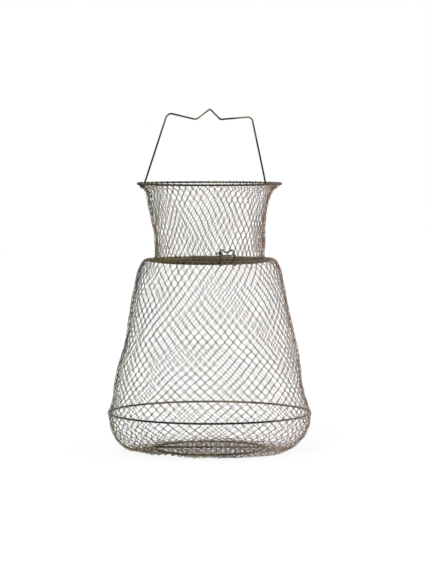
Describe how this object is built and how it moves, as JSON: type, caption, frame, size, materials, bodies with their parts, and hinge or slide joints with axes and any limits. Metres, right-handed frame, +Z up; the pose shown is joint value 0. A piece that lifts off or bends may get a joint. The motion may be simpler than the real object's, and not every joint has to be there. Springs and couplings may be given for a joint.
{
  "type": "wire keep net",
  "caption": "Collapsible wire fish basket: netted body on wire rings, flared throat, sprung lid with a finger tab, bail handle",
  "frame": {"origin": "on the surface that the basket stands on, under the middle of its base ring", "axes": "+Z up along the basket's axis; the finger tab faces -Y, the lid's hinge is at +Y; the lid and the bail both turn about lines along X"},
  "size_m": [0.3332, 0.3332, 0.5591],
  "materials": {
    "ring_wire": "satin",
    "bail_wire": "satin",
    "tab_wire": "satin",
    "hinge_wire": "satin",
    "spring_wire": "satin",
    "netting_wire": "satin",
    "flat_netting": "satin"
  },
  "bodies": {
    "basket": {"base_ring": "ring_wire", "base_net": "flat_netting", "base_cross_rod": "ring_wire", "base_tie_wire": "ring_wire", "bowl_floor_net": "netting_wire", "bowl_side_net": "netting_wire", "belly_ring": "ring_wire", "lower_body_net": "netting_wire"},
    "neck": {"upper_body_net": "netting_wire", "shoulder_net": "netting_wire", "neck_ring": "ring_wire", "lower_throat_net": "netting_wire", "hinge_loop_left": "hinge_wire", "hinge_loop_right": "hinge_wire", "lid_spring": "spring_wire"},
    "top": {"upper_throat_net": "netting_wire", "top_ring": "ring_wire"},
    "lid": {"lid_frame": "ring_wire", "lid_net": "flat_netting", "finger_tab": "tab_wire", "tab_cross_wire": "tab_wire"},
    "bail": {"bail": "bail_wire"}
  },
  "joints": [
    {"name": "neck_slide", "type": "slide", "parent": "basket", "child": "neck", "axis": [0, 0, -1], "range_m": [0, 0.115]},
    {"name": "top_slide", "type": "slide", "parent": "neck", "child": "top", "axis": [0, 0, -1], "range_m": [0, 0.05]},
    {"name": "lid_hinge", "type": "hinge", "parent": "neck", "child": "lid", "pos_m": [0, 0.08521, 0.3102], "axis": [1, 0, 0], "range_deg": [0, 80], "stiffness_Nm_per_rad": 0.03, "springref_deg": -57.3, "deforming": ["lid_spring"]},
    {"name": "bail_hinge", "type": "hinge", "parent": "top", "child": "bail", "pos_m": [0, 0.014, 0.4347], "axis": [1, 0, 0], "range_deg": [-84, 60]}
  ],
  "couplings": [
    {"joint": "top_slide", "follows": "neck_slide", "ratio": 0.43478}
  ]
}
